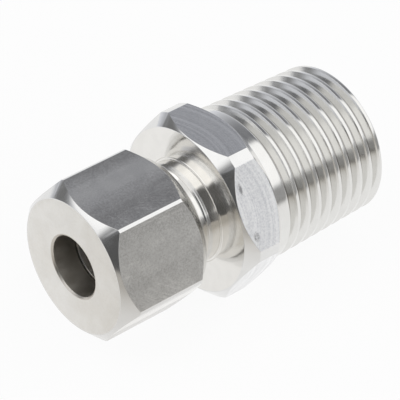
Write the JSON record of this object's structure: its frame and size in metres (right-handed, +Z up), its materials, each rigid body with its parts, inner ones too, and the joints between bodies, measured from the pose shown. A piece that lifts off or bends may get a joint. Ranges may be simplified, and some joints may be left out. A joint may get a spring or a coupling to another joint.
{
  "type": "probe compression fitting",
  "caption": "Steel compression fitting for a straight probe: a hexagon body with a male taper pipe thread, a ferrule and a hexagon nut that screws off the neck.",
  "frame": {"origin": "middle of the bounding box on the surface that the fitting lies on, under the body's lowest flat", "axes": "+X along the bore from the nut to the end of the taper thread, +Z up, square to the flat that it lies on"},
  "size_m": [0.0426, 0.0252, 0.0226],
  "materials": {
    "turned_steel": "bright turned stainless steel with milled flats",
    "nut_steel": "satin stainless steel, matt blasted front face",
    "ferrule_steel": "turned stainless steel"
  },
  "bodies": {
    "body": {"body": "turned_steel"},
    "ferrule": {"ferrule": "ferrule_steel"},
    "nut": {"nut": "nut_steel"}
  },
  "joints": [
    {"name": "ferrule_slide", "type": "slide", "parent": "body", "child": "ferrule", "axis": [-1, 0, 0], "range_m": [0, 0.0075]},
    {"name": "nut_turn", "type": "hinge", "parent": "ferrule", "child": "nut", "pos_m": [-0.0145, 0, 0.0113], "axis": [-1, 0, 0], "range_deg": [0, 1800]}
  ],
  "couplings": [
    {"joint": "ferrule_slide", "follows": "nut_turn", "m_per_rad": 0.00023873}
  ]
}
